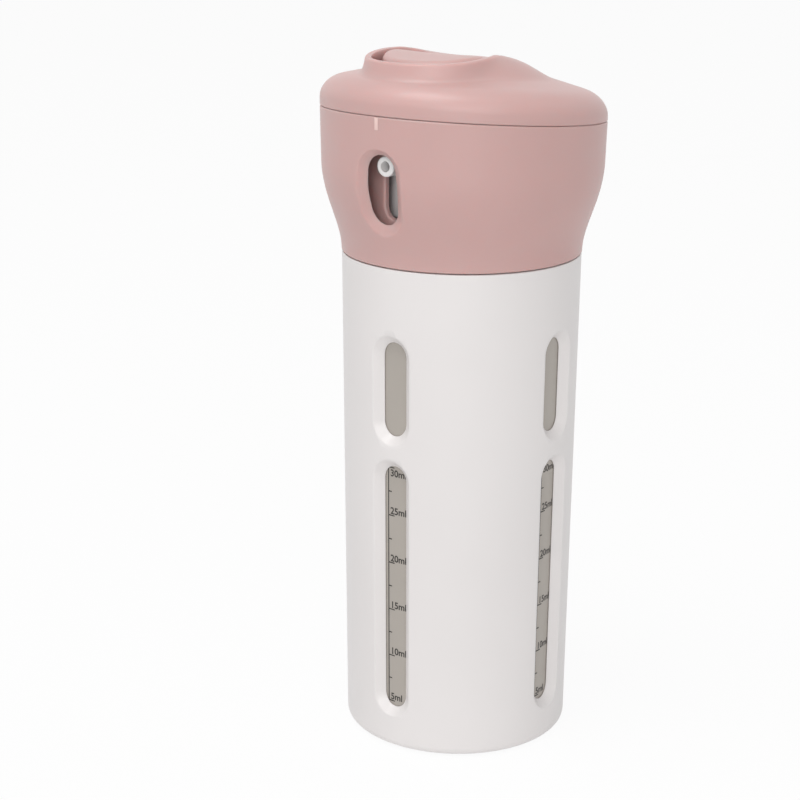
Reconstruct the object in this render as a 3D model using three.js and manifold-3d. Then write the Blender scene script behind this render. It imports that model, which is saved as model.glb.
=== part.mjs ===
// Travel dispenser bottle. A windowed sleeve holds four refillable quarter-round bottles that hang from
// one carrier, each with its own small pump. The hood turns on the carrier, so its outlet slot and its
// button come over the pump that is wanted. Millimetres, +Z up, origin at the centre of the base, and
// the outlet slot faces -Y.
import * as THREE from 'three';
import { mergeVertices } from 'three/addons/utils/BufferGeometryUtils.js';
import Module from 'manifold-3d';

const wasm = await Module();
wasm.setup();

// Driving dimensions of the fits
const clearance = 0.3;
const wallClearance = 0.35;
const stroke = 6;

// Driving dimensions of the sleeve
const sleeveHeight = 124.65;
const sleeveTopRadius = 29.7;
const sleeveTaper = 0.01;
const sleeveWall = 2.4;
const sleeveFloor = 1.8;
const footRecess = 0.8;
const footRingWidth = 4;
const baseFillet = 2.8;
const windowHalfWidth = 3.42;
const windowFlare = 1.6;
const lowerWindow = [10.7, 75.4];
const upperWindow = [83, 106.5];
const columns = 4;

// Driving dimensions of the carrier that the bottles hang from
const deckDepth = 8;
const deckThickness = 2;
const guideWall = 1.4;
const guideRadius = 27.5;
const guideHeight = 28.8;
const guideSlotWidth = 6.4;
const guideSlotSpare = 4.8;
const snapBead = 0.8;

// Driving dimensions of the bottles
const bottleWall = 1.1;
const bottleGap = 0.6;
const bottleRoundness = 14;
const pumpRadius = 15;
const neckRadius = 6.05;
const neckWall = 1.2;
const neckHeight = 9.3;
const shoulderHeight = 8;
const shoulderRadius = 8.4;

// Driving dimensions of the closures and pumps
const closureWall = 2.2;
const closureWeb = 1.4;
const gasketThickness = 0.6;
const flangeThickness = 0.8;
const barrelRadius = 3.2;
const barrelWall = 0.75;
const barrelLength = 13.2;
const coneHeight = 1.8;
const portRadius = 0.75;
const socketLength = 5;
const tubeRadius = 1.45;
const tubeBore = 0.85;
const tubeFootGap = 2.2;
const ballRadius = 1.2;
const springRadius = 2.5;
const springWire = 0.25;
const springTurns = 5;
const pistonHead = 3;
const stemRadius = 1.6;
const stemBore = 0.8;
const stemLength = 19;
const actuatorRadius = 9.3;
const actuatorHeight = 18.2;
const actuatorWall = 1;
const nozzleRadius = 2.45;
const nozzleBore = 1.1;
const nozzleReach = 31.5;
const nozzleDrop = 4.9;
const nozzleRise = 24.5;

// Driving dimensions of the hood: a flared collar with a cap seated on its slanted top
const collarHeight = 33.95;
const collarWall = 1.8;
const collarTopRadius = 35;
const collarDraft = 0.27;
const collarBellyRadius = collarTopRadius - collarDraft;
const collarBellyHeight = 22;
const collarLip = 1.4;
const seamTilt = 0.083;
const outletHalfWidth = 3.9;
const outletFlare = 2.1;
const outlet = [10.7, 27.9];
const indexMark = [0.75, 3, 0.3];
const capWall = 1.9;
const capEdge = 3.05;
const capTongue = 2.3;
const shoulderStart = 28.5;
const domeRise = 5.09;
const domeSlope = 0.25;
const turretOffset = 13.2;
const turretRadius = 15.26;
const turretLip = 1.22;
const turretHeight = 14.75;
const frontBlend = 2.5;
const backBlend = 16;
const saddleDip = 2;
const wellDepth = 11;

// Driving dimensions of the button
const buttonRise = 0.2;
const buttonCrescent = 3;
const buttonWall = 1.5;
const buttonScoop = 0.9;
const buttonEdge = 1.6;
const buttonFlange = 1.2;
const postRadius = 3.6;

// How finely each form is divided
const fine = 48;
const medium = 32;
const small = 12;
const tiny = 8;
const slotSteps = 7;
const springSteps = 6;

const pink = new THREE.MeshStandardMaterial({ color: 0xd9a9a0, roughness: 0.45 });
const white = new THREE.MeshStandardMaterial({ color: 0xf1efec, roughness: 0.4 });
const clear = new THREE.MeshStandardMaterial({ color: 0xb2aca2, roughness: 0.3 });
const rubber = new THREE.MeshStandardMaterial({ color: 0x8c8c8c, roughness: 0.8 });
const steel = new THREE.MeshStandardMaterial({ color: 0xb8bbc0, roughness: 0.3, metalness: 1 });

// Merges shared points, drops collapsed triangles and turns the faces outwards.
function closed(geometry) {
  const bare = new THREE.BufferGeometry();
  bare.setAttribute('position', geometry.getAttribute('position'));
  bare.setIndex(geometry.index);
  const merged = mergeVertices(bare, 1e-4);
  const index = merged.index.array;
  const kept = [];
  for (let i = 0; i < index.length; i += 3) {
    const [a, b, c] = [index[i], index[i + 1], index[i + 2]];
    if (a !== b && b !== c && c !== a) {
      kept.push(a, b, c);
    }
  }
  merged.setIndex(enclosedVolume(merged, kept) < 0 ? kept.reverse() : kept);
  return merged;
}

function enclosedVolume(geometry, index) {
  const position = geometry.getAttribute('position');
  const corner = (i) => new THREE.Vector3().fromBufferAttribute(position, index[i]);
  let volume = 0;
  for (let i = 0; i < index.length; i += 3) {
    volume += corner(i).dot(corner(i + 1).cross(corner(i + 2))) / 6;
  }
  return volume;
}

// A revolve about Z of a profile of [radius, height] points, closed on itself or on the axis.
function turned(profile, segments) {
  const points = profile.map(([radius, height]) => new THREE.Vector2(radius, height));
  if (profile[0][0] > 0) {
    points.push(points[0].clone());
  }
  const geometry = new THREE.LatheGeometry(points, segments);
  geometry.rotateX(Math.PI / 2);
  return closed(geometry);
}

// A skin through rings of equally many points: a hollow ring of skin, or a body with covered ends.
function lofted(rings, hollow = false) {
  const count = rings[0].length;
  const points = rings.flat();
  const triangles = [];
  const bands = hollow ? rings.length : rings.length - 1;
  for (let band = 0; band < bands; band += 1) {
    const lower = band * count;
    const upper = ((band + 1) % rings.length) * count;
    for (let i = 0; i < count; i += 1) {
      const next = (i + 1) % count;
      triangles.push(lower + i, lower + next, upper + next);
      triangles.push(lower + i, upper + next, upper + i);
    }
  }
  if (!hollow) {
    for (const [end, start] of [[rings[0], 0], [rings.at(-1), (rings.length - 1) * count]]) {
      const middle = new THREE.Vector3();
      end.forEach((point) => middle.addScaledVector(point, 1 / count));
      points.push(middle);
      for (let i = 0; i < count; i += 1) {
        const pair = [start + i, start + ((i + 1) % count)];
        triangles.push(points.length - 1, ...(start ? pair : pair.reverse()));
      }
    }
  }
  const geometry = new THREE.BufferGeometry().setFromPoints(points);
  geometry.setIndex(triangles);
  return closed(geometry);
}

function solid(geometry) {
  const vertProperties = new Float32Array(geometry.getAttribute('position').array);
  const triVerts = new Uint32Array(geometry.index.array);
  return new wasm.Manifold(new wasm.Mesh({ numProp: 3, vertProperties, triVerts }));
}

function fromSolid(body) {
  const mesh = body.getMesh();
  const geometry = new THREE.BufferGeometry();
  geometry.setAttribute('position', new THREE.BufferAttribute(mesh.vertProperties, 3));
  geometry.setIndex(new THREE.BufferAttribute(mesh.triVerts, 1));
  return geometry;
}

function cut(geometry, ...tools) {
  return fromSolid(tools.reduce((body, tool) => body.subtract(solid(tool)), solid(geometry)));
}

function join(geometry, ...others) {
  return fromSolid(others.reduce((body, other) => body.add(solid(other)), solid(geometry)));
}

function rod(radius, length, segments) {
  return new THREE.CylinderGeometry(radius, radius, length, segments).rotateX(Math.PI / 2);
}

// An upright slot with round ends that faces -Y and wraps round the axis, as a loft of outlines at
// [distance, spread] stations.
function flaredSlot([bottom, top], halfWidth, stations, wrapRadius, inwardAt = () => 0) {
  const rings = stations.map(([distance, spread]) => {
    const ring = [];
    for (const [middle, from] of [[top - halfWidth, 0], [bottom + halfWidth, Math.PI]]) {
      for (let step = 0; step <= slotSteps; step += 1) {
        const angle = from + (Math.PI * step) / slotSteps;
        const radius = halfWidth + spread;
        const turn = (radius * Math.cos(angle)) / wrapRadius;
        const height = middle + radius * Math.sin(angle);
        const reach = distance - inwardAt(height);
        ring.push(new THREE.Vector3(reach * Math.sin(turn), -reach * Math.cos(turn), height));
      }
    }
    return ring;
  });
  return lofted(rings);
}

function aroundAxis(make) {
  return Array.from({ length: columns }, (_, i) => make().rotateZ((i * 2 * Math.PI) / columns));
}

function sleeveRadius(height) {
  return sleeveTopRadius - sleeveTaper * (sleeveHeight - height);
}

function outerSleeve() {
  const baseRadius = sleeveRadius(0);
  const floorTop = footRecess + sleeveFloor;
  const profile = [[0, footRecess], [baseRadius - baseFillet - footRingWidth, footRecess]];
  profile.push([baseRadius - baseFillet - footRingWidth + footRecess, 0]);
  for (let step = 0; step <= 4; step += 1) {
    const angle = (Math.PI / 2) * (step / 4);
    const radius = baseRadius - baseFillet * (1 - Math.sin(angle));
    profile.push([radius, baseFillet * (1 - Math.cos(angle))]);
  }
  profile.push([sleeveTopRadius, sleeveHeight]);
  profile.push([sleeveTopRadius - sleeveWall, sleeveHeight]);
  profile.push([baseRadius - sleeveWall, floorTop + 0.6], [baseRadius - sleeveWall - 0.6, floorTop]);
  profile.push([0, floorTop]);
  const inside = sleeveTopRadius - sleeveWall;
  const outside = sleeveTopRadius;
  const taperAt = (height) => sleeveTopRadius - sleeveRadius(height);
  const stations = [
    [inside - 5, 0],
    [inside + 1.2, 0],
    [outside - 1, windowFlare * 0.35],
    [outside - 0.3, windowFlare],
    [outside + 2, windowFlare + 2],
  ];
  const windows = [lowerWindow, upperWindow].flatMap((span) =>
    aroundAxis(() => flaredSlot(span, windowHalfWidth, stations, inside, taperAt)));
  return cut(turned(profile, fine), ...windows);
}

// Carrier: a deck inside the sleeve's mouth, and a guide wall that the hood turns on
const deckTop = sleeveHeight - deckDepth + deckThickness;
const deckBottom = sleeveHeight - deckDepth;
const sleeveBore = sleeveTopRadius - sleeveWall;
const seam = sleeveHeight + clearance;
const beadFoot = seam + collarLip + clearance;
const nozzleHeight = seam + nozzleRise;

function pumpCarrier() {
  const inner = guideRadius - guideWall;
  const spigot = sleeveBore - wallClearance - sleeveTaper * deckDepth;
  const top = sleeveHeight + guideHeight;
  const profile = [
    [0, deckBottom],
    [spigot, deckBottom],
    [spigot, seam],
    [guideRadius, seam],
    [guideRadius, beadFoot],
    [guideRadius + snapBead, beadFoot + 0.3],
    [guideRadius + snapBead, beadFoot + 0.7],
    [guideRadius, beadFoot + 1.6],
    [guideRadius, top],
    [inner, top],
    [inner, deckTop],
    [0, deckTop],
  ];
  const holes = aroundAxis(() => {
    const hole = rod(neckRadius + wallClearance, deckThickness * 3, small);
    return closed(hole.translate(0, -pumpRadius, deckTop));
  });
  const slotFoot = nozzleHeight - nozzleRadius - stroke - guideSlotSpare;
  const span = [slotFoot, slotFoot + guideHeight];
  const stations = [[inner - 3, 0], [guideRadius + 3, 0]];
  const slots = aroundAxis(() => flaredSlot(span, guideSlotWidth / 2, stations, guideRadius));
  return cut(turned(profile, medium), ...holes, ...slots);
}

// Bottle: a quarter of the sleeve's bore, with rounded corners, seen from the axis of its own neck
const bottleFoot = footRecess + sleeveFloor + clearance;
const bottleSides = 24;
const shoulderTop = deckBottom - clearance;
const neckTop = shoulderTop + neckHeight;

function quarterOutline(height, inset) {
  const arc = sleeveRadius(height) - sleeveWall - wallClearance - inset;
  const flat = pumpRadius * Math.SQRT1_2 - bottleGap / 2 - inset;
  const ring = [];
  for (let i = 0; i < bottleSides; i += 1) {
    const angle = (2 * Math.PI * i) / bottleSides;
    const along = Math.cos(angle);
    const reach = -pumpRadius * along + Math.sqrt((pumpRadius * along) ** 2 - pumpRadius ** 2 + arc ** 2);
    const limits = [reach];
    for (const side of [-1, 1]) {
      const towards = Math.cos(angle - side * 0.75 * Math.PI);
      if (towards > 0.01) {
        limits.push(flat / towards);
      }
    }
    const total = limits.reduce((sum, limit) => sum + limit ** -bottleRoundness, 0);
    const radius = total ** (-1 / bottleRoundness);
    ring.push(new THREE.Vector3(radius * Math.sin(angle), -radius * along - pumpRadius, height));
  }
  return ring;
}

function neckRing(height, radius) {
  return Array.from({ length: bottleSides }, (_, i) => {
    const angle = (2 * Math.PI * i) / bottleSides;
    return new THREE.Vector3(radius * Math.sin(angle), -radius * Math.cos(angle) - pumpRadius, height);
  });
}

function bottle() {
  const bodyTop = shoulderTop - shoulderHeight;
  return lofted([
    quarterOutline(bottleFoot, 1.6),
    quarterOutline(bottleFoot + 0.5, 0.5),
    quarterOutline(bottleFoot + 1.6, 0),
    quarterOutline(bodyTop, 0),
    quarterOutline(bodyTop + shoulderHeight * 0.45, 1.2),
    neckRing(shoulderTop - 0.8, shoulderRadius),
    neckRing(shoulderTop, shoulderRadius - 0.8),
    neckRing(shoulderTop, neckRadius),
    neckRing(neckTop, neckRadius),
    neckRing(neckTop, neckRadius - neckWall),
    neckRing(shoulderTop - 1.5, neckRadius - neckWall),
    quarterOutline(bodyTop + shoulderHeight * 0.4, 2.6 + bottleWall),
    quarterOutline(bodyTop, bottleWall),
    quarterOutline(bottleFoot + 1.6 + bottleWall, bottleWall),
    quarterOutline(bottleFoot + bottleWall, bottleWall + 1.4),
  ]);
}

// Closure, gasket and pump of one bottle, all on the neck's axis
const gasketFoot = neckTop + clearance;
const flangeFoot = gasketFoot + gasketThickness + clearance;
const flangeTop = flangeFoot + flangeThickness;
const webFoot = flangeTop + clearance;
const webTop = webFoot + closureWeb;
const closureBore = neckRadius + wallClearance;
const barrelOuter = barrelRadius + barrelWall;
const barrelFoot = flangeTop - barrelLength;
const socketBore = tubeRadius + clearance;
const socketTop = barrelFoot - coneHeight - 1.2;
const pistonRadius = barrelRadius - clearance;
const springFoot = barrelFoot + 0.1;
const pistonFoot = webFoot - clearance - pistonHead;
const springLength = pistonFoot - clearance - springWire - springFoot;
const stemTop = pistonFoot + pistonHead + stemLength;
const actuatorTop = nozzleHeight + nozzleDrop;
const actuatorFoot = actuatorTop - actuatorHeight;

function onNeck(geometry) {
  return geometry.translate(0, -pumpRadius, 0);
}

function closure() {
  const outer = closureBore + closureWall;
  const foot = deckTop + clearance;
  const hole = stemRadius + clearance;
  return onNeck(turned([
    [closureBore, foot],
    [outer, foot],
    [outer, webTop - 0.6],
    [outer - 0.6, webTop],
    [hole, webTop],
    [hole, webFoot],
    [closureBore, webFoot],
  ], small));
}

function gasket() {
  const outer = neckRadius - 0.1;
  const inner = barrelOuter + wallClearance;
  const top = gasketFoot + gasketThickness;
  return onNeck(turned([[inner, gasketFoot], [outer, gasketFoot], [outer, top], [inner, top]], small));
}

function pumpBody() {
  const coneFoot = barrelFoot - coneHeight;
  const socketFoot = socketTop - socketLength;
  const socketOuter = socketBore + barrelWall;
  return onNeck(turned([
    [barrelRadius, flangeTop],
    [neckRadius - 0.15, flangeTop],
    [neckRadius - 0.15, flangeFoot],
    [barrelOuter, flangeFoot],
    [barrelOuter, barrelFoot - 0.4],
    [socketOuter, coneFoot - 0.6],
    [socketOuter, socketFoot],
    [socketBore, socketFoot],
    [socketBore, socketTop],
    [portRadius, socketTop],
    [portRadius, coneFoot],
    [barrelRadius, barrelFoot],
  ], small));
}

function dipTube() {
  const foot = bottleFoot + bottleWall + tubeFootGap;
  const top = socketTop - clearance;
  return onNeck(turned([[tubeBore, foot], [tubeRadius, foot], [tubeRadius, top], [tubeBore, top]], tiny));
}

// The ball rests in the cone over the port, one clearance off its wall.
function checkBall() {
  const flare = barrelRadius - portRadius;
  const slant = Math.hypot(flare, coneHeight);
  const rise = ((ballRadius + clearance) * slant - portRadius * coneHeight) / flare;
  const ball = closed(new THREE.SphereGeometry(ballRadius, 8, 6));
  return onNeck(ball.translate(0, 0, barrelFoot - coneHeight + rise));
}

function pumpSpring() {
  const steps = springTurns * springSteps;
  const rings = [];
  for (let step = 0; step <= steps; step += 1) {
    const turn = (2 * Math.PI * step) / springSteps;
    const height = springFoot + (springLength * step) / steps;
    const ring = [];
    for (let side = 0; side < 3; side += 1) {
      const around = (2 * Math.PI * side) / 3;
      const radius = springRadius + springWire * Math.cos(around);
      const z = height + springWire * Math.sin(around);
      ring.push(new THREE.Vector3(radius * Math.cos(turn), radius * Math.sin(turn), z));
    }
    rings.push(ring);
  }
  return onNeck(lofted(rings));
}

function piston() {
  const shoulder = pistonFoot + pistonHead;
  return onNeck(turned([
    [stemBore, pistonFoot],
    [pistonRadius, pistonFoot],
    [pistonRadius, shoulder],
    [stemRadius, shoulder],
    [stemRadius, stemTop],
    [stemBore, stemTop],
  ], small));
}

// Actuator: a round head over the stem, with a spout that reaches out through the guide slot
function actuator() {
  const socket = stemRadius + clearance;
  const hub = socket + actuatorWall;
  const roof = stemTop + clearance;
  const skirt = actuatorRadius - actuatorWall;
  const head = turned([
    [0, roof],
    [socket, roof],
    [socket, actuatorFoot],
    [hub, actuatorFoot],
    [hub, roof - 1.5],
    [skirt, roof - 1.5],
    [skirt, actuatorFoot],
    [actuatorRadius, actuatorFoot],
    [actuatorRadius, actuatorTop - 1.2],
    [actuatorRadius - 0.35, actuatorTop - 0.4],
    [actuatorRadius - 1.2, actuatorTop],
    [0, actuatorTop],
  ], small);
  const spoutLength = nozzleReach - pumpRadius;
  const lay = (geometry) => geometry.rotateX(Math.PI / 2);
  const spout = lay(turned([
    [0, 0],
    [nozzleRadius, 0],
    [nozzleRadius, spoutLength - 0.4],
    [nozzleRadius - 0.35, spoutLength],
    [0, spoutLength],
  ], small)).translate(0, 0, nozzleHeight);
  const throat = lay(rod(nozzleBore, spoutLength + 2, tiny));
  throat.translate(0, -spoutLength / 2 - 1, nozzleHeight);
  const riser = rod(stemBore, nozzleHeight - roof + 1, tiny);
  riser.translate(0, 0, (nozzleHeight + roof - 1) / 2);
  return onNeck(cut(join(head, spout), closed(throat), closed(riser)));
}

// Hood: the collar's flared wall, and the height of the slanted joint with its cap
function seamPlane(y) {
  return seam + collarHeight - seamTilt * y;
}

function hoodCollar() {
  const foot = sleeveTopRadius + 0.1;
  const outer = new THREE.CubicBezierCurve(
    new THREE.Vector2(foot, seam),
    new THREE.Vector2(foot + 0.1, seam + collarBellyHeight * 0.32),
    new THREE.Vector2(collarBellyRadius - 0.33, seam + collarBellyHeight * 0.59),
    new THREE.Vector2(collarBellyRadius, seam + collarBellyHeight),
  ).getPoints(6).map((point) => [point.x, point.y]);
  const top = seam + collarHeight - clearance / 2;
  const lipTop = seam + collarLip;
  const bore = guideRadius + wallClearance;
  const inner = outer.map(([radius, height]) => [radius - collarWall, height]);
  const above = inner.filter(([radius]) => radius > guideRadius + snapBead + 2 * clearance);
  const profile = [
    [bore, seam],
    ...outer,
    [collarTopRadius, top],
    [collarTopRadius - collarWall, top],
    ...above.reverse(),
    [guideRadius + snapBead + wallClearance, lipTop],
    [bore, lipTop],
  ];
  const wall = turned(profile, fine);
  const position = wall.getAttribute('position');
  for (let i = 0; i < position.count; i += 1) {
    const share = (position.getZ(i) - seam - collarBellyHeight) / (collarHeight - collarBellyHeight);
    const lift = -seamTilt * position.getY(i) * Math.max(share, 0);
    position.setZ(i, position.getZ(i) + lift);
  }
  const slot = flaredSlot([seam + outlet[0], seam + outlet[1]], outletHalfWidth, [
    [collarBellyRadius - 6, 0],
    [collarBellyRadius - 2.6, 0],
    [collarBellyRadius - 1.2, outletFlare * 0.4],
    [collarBellyRadius - 0.4, outletFlare],
    [collarBellyRadius + 2, outletFlare + 2],
  ], collarBellyRadius);
  const [markWidth, markHeight, markDepth] = indexMark;
  const mark = new THREE.BoxGeometry(markWidth, 2 * markDepth, markHeight * 2);
  mark.translate(0, -collarTopRadius, seamPlane(-collarTopRadius));
  return cut(wall, slot, closed(mark));
}

// The cap's skin is worked out by rays from the middle of the button's well.
const capSides = 40;
const turretTop = seam + collarHeight + turretHeight;
const turretBore = turretRadius - turretLip;

function smooth(share) {
  const t = Math.min(Math.max(share, 0), 1);
  return t * t * (3 - 2 * t);
}

function reachTo(angle, radius) {
  const along = turretOffset * Math.cos(angle);
  return -along + Math.sqrt(along ** 2 - turretOffset ** 2 + radius ** 2);
}

function fromFront(angle) {
  return (angle > Math.PI ? 2 * Math.PI - angle : angle) * (180 / Math.PI);
}

function blendWidth(angle) {
  return frontBlend + (backBlend - frontBlend) * smooth((fromFront(angle) - 80) / 85);
}

// The turret's rim dips at the back, where the thumb comes over it.
function rimHeight(angle) {
  return turretTop - saddleDip * smooth((fromFront(angle) - 115) / 50);
}

function domeHeight(radius) {
  const rise = domeRise + domeSlope * (shoulderStart - radius);
  const share = Math.max(radius - shoulderStart, 0) / (collarTopRadius - shoulderStart);
  return capEdge + rise * Math.max(1 - share ** 2, 0) ** 0.6;
}

function wellPoint(angle, reach, height) {
  return new THREE.Vector3(reach * Math.sin(angle), -turretOffset - reach * Math.cos(angle), height);
}

// Top of the cap at a distance from the well's middle: the turret's lip falls away into the low dome.
function capTop(angle, reach) {
  const point = wellPoint(angle, reach, 0);
  const dome = seamPlane(point.y) + domeHeight(Math.hypot(point.x, point.y));
  const fall = smooth((reach - turretRadius) / blendWidth(angle));
  return rimHeight(angle) + (dome - rimHeight(angle)) * fall;
}

function capRing(place) {
  return Array.from({ length: capSides }, (_, i) => {
    const angle = (2 * Math.PI * i) / capSides;
    const [reach, height] = place(angle);
    return wellPoint(angle, reach, height);
  });
}

function wallRing(radius, above) {
  return capRing((angle) => {
    const reach = reachTo(angle, radius);
    return [reach, seamPlane(wellPoint(angle, reach, 0).y) + above];
  });
}

function hoodCap() {
  const wellFoot = turretTop - wellDepth;
  const tongueOuter = collarTopRadius - collarWall - clearance;
  const tongueInner = tongueOuter - 1.4;
  const tubeOuter = turretRadius + 0.3;
  const skinTo = (share, fromRadius) => (angle) => {
    const start = fromRadius(angle);
    const reach = start + (reachTo(angle, collarTopRadius) - start) * share;
    return [reach, capTop(angle, reach)];
  };
  const blendEnd = (angle) => turretRadius + blendWidth(angle);
  const blends = [0.12, 0.3, 0.5, 0.7, 1].map((share) => capRing((angle) => {
    const reach = turretRadius + blendWidth(angle) * share;
    return [reach, capTop(angle, reach)];
  }));
  const shoulders = [0.35, 0.6, 0.8, 0.93].map((share) => capRing(skinTo(share, blendEnd)));
  const linings = [0, 0.35, 0.7, 1].map((share) => capRing((angle) => {
    const far = reachTo(angle, tongueInner);
    const reach = far + (tubeOuter - far) * share;
    return [reach, capTop(angle, reach) - capWall];
  }));
  return lofted([
    capRing(() => [turretBore, wellFoot]),
    capRing((angle) => [turretBore, rimHeight(angle) - 0.3]),
    capRing((angle) => [turretBore + 0.25, rimHeight(angle)]),
    capRing((angle) => [turretRadius - 0.25, rimHeight(angle)]),
    ...blends,
    ...shoulders,
    wallRing(collarTopRadius, capEdge),
    wallRing(collarTopRadius, clearance / 2),
    wallRing(tongueOuter, clearance / 2),
    wallRing(tongueOuter, -capTongue),
    wallRing(tongueInner, -capTongue),
    ...linings,
    capRing(() => [tubeOuter, wellFoot]),
  ], true);
}

// Button: an oval cup in the well, shorter than the well at the front, held by a flange below it
function pushButton() {
  const halfWidth = turretBore - wallClearance;
  const halfLength = halfWidth - (buttonCrescent - wallClearance) / 2;
  const middle = -turretOffset + halfWidth - halfLength;
  const top = turretTop - buttonRise;
  const wellFoot = turretTop - wellDepth;
  const flangeTopZ = wellFoot - clearance;
  const foot = flangeTopZ - buttonFlange;
  const sag = (y) => saddleDip * smooth((y - middle + halfLength) / (2 * halfLength));
  const oval = (inset, height, follow = 0) => Array.from({ length: medium }, (_, i) => {
    const angle = (2 * Math.PI * i) / medium;
    const x = (halfWidth - inset) * Math.sin(angle);
    const y = middle - (halfLength - inset) * Math.cos(angle);
    return new THREE.Vector3(x, y, height - follow * sag(y));
  });
  const shell = lofted([
    oval(0, foot),
    oval(0, top - buttonEdge, 1),
    oval(buttonEdge * 0.3, top - buttonEdge * 0.3, 1),
    oval(buttonEdge, top, 1),
    oval(halfLength * 0.45, top - buttonScoop * 0.65, 1),
    oval(halfLength * 0.75, top - buttonScoop, 1),
  ]);
  const roof = top - buttonScoop - buttonWall;
  const cavity = lofted([oval(buttonWall, foot - 1), oval(buttonWall, roof, 1)]);
  const flange = closed(rod(turretRadius - 0.1, buttonFlange, medium));
  flange.translate(0, -turretOffset, foot + buttonFlange / 2);
  const postTop = roof + buttonWall / 2 - saddleDip / 2;
  const postFoot = actuatorTop + clearance + 0.1;
  const post = closed(rod(postRadius, postTop - postFoot, small));
  post.translate(0, -pumpRadius, (postTop + postFoot) / 2);
  return join(cut(join(shell, flange), cavity), post);
}

const dispenser = new THREE.Group();

function place(name, geometry, material, parent = dispenser) {
  const mesh = new THREE.Mesh(geometry, material);
  mesh.name = name;
  parent.add(mesh);
}

place('outer_sleeve', outerSleeve(), white);
place('pump_carrier', pumpCarrier(), pink);
place('hood_collar', hoodCollar(), pink);
place('hood_cap', hoodCap(), pink);
place('push_button', pushButton(), pink);

for (let i = 0; i < columns; i += 1) {
  const quarter = new THREE.Group();
  quarter.rotation.z = (2 * Math.PI * i) / columns;
  dispenser.add(quarter);
  const number = i + 1;
  place(`bottle_${number}`, bottle(), clear, quarter);
  place(`closure_${number}`, closure(), white, quarter);
  place(`gasket_${number}`, gasket(), rubber, quarter);
  place(`pump_body_${number}`, pumpBody(), white, quarter);
  place(`dip_tube_${number}`, dipTube(), clear, quarter);
  place(`check_ball_${number}`, checkBall(), steel, quarter);
  place(`pump_spring_${number}`, pumpSpring(), steel, quarter);
  place(`piston_${number}`, piston(), white, quarter);
  place(`actuator_${number}`, actuator(), white, quarter);
}

export default dispenser;
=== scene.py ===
# %% [markdown]
# A travel dispenser for the wash bag: a white sleeve with viewing windows, a pink hood that turns on it,
# and four quarter-round bottles inside, each with its own small pump. The solids come from the packed
# frame, and this lesson gives them the smooth skins, the printed scales and the moulded finishes.

import math

import bmesh
import bpy
from mathutils import Matrix, Vector
from mathutils.geometry import interpolate_bezier


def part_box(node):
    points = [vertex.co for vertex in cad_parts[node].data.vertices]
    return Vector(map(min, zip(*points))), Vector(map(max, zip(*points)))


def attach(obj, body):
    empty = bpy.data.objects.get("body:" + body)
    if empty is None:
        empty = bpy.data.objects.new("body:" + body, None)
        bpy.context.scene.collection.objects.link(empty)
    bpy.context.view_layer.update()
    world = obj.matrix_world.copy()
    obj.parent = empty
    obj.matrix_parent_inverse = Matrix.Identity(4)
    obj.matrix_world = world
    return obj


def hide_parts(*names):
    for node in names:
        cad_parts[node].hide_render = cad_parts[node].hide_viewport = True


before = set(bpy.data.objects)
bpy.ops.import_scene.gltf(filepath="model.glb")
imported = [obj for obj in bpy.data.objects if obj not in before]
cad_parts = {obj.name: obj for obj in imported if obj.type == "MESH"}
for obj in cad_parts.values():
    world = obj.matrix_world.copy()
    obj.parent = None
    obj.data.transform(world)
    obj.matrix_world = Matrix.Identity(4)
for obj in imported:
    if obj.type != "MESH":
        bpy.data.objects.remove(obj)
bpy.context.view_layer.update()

# %% [markdown]
# Blender works in metres, and a moulded product is drawn in millimetres, so every size below is in
# millimetres and one factor turns it to metres. Sizes that the solids already hold are read from the
# frame, so that a skin always fits the piece that it covers.

# %% Main sizes
MM = 0.001


def top_of(node):
    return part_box(node)[1].z / MM


def half_width_of(node):
    low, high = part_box(node)
    return (high.x - low.x) / 2 / MM


SLEEVE_HEIGHT = top_of("outer_sleeve")
SLEEVE_RADIUS = half_width_of("outer_sleeve")
SLEEVE_TAPER = 0.01
SLEEVE_WALL = 2.25
CLEARANCE = 0.3
WALL_CLEARANCE = 0.35
SEAM = SLEEVE_HEIGHT + CLEARANCE
COLLAR_HEIGHT = 33.7
COLLAR_RADIUS = half_width_of("hood_collar")
SEAM_TILT = 0.083
COLUMNS = 4
print("sleeve", round(SLEEVE_HEIGHT, 2), "x", round(2 * SLEEVE_RADIUS, 2), "mm")

# %% [markdown]
# Colours are written as the sRGB hex values that a paint or masterbatch card would give. Cycles works in
# linear light, so one function turns them. A second small function adds a node, sets it and links it,
# which keeps each material down to a few readable lines.


# %% Colour and node helpers
def linear(code):
    channels = [int(code[i:i + 2], 16) / 255 for i in (1, 3, 5)]
    turned = [c / 12.92 if c <= 0.04045 else ((c + 0.055) / 1.055) ** 2.4 for c in channels]
    return (*turned, 1.0)


def add(tree, kind, inputs=None, **settings):
    node = tree.nodes.new(kind)
    for name, value in settings.items():
        setattr(node, name, value)
    for name, value in (inputs or {}).items():
        if isinstance(value, bpy.types.NodeSocket):
            tree.links.new(value, node.inputs[name])
        else:
            node.inputs[name].default_value = value
    return node


# %% [markdown]
# Nearly everything here is injection moulded. The mould is spark-eroded, which leaves a very fine matt
# grain, and thick and thin places cool at different rates, which leaves a slow change of shade. One
# function makes both from noise: a cloud some centimetres across tints the colour and the gloss, and a
# grain of a few tenths of a millimetre drives the bump. Real grain is nearer 0.05 mm, but that would
# never show, so it is drawn coarser.


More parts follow.
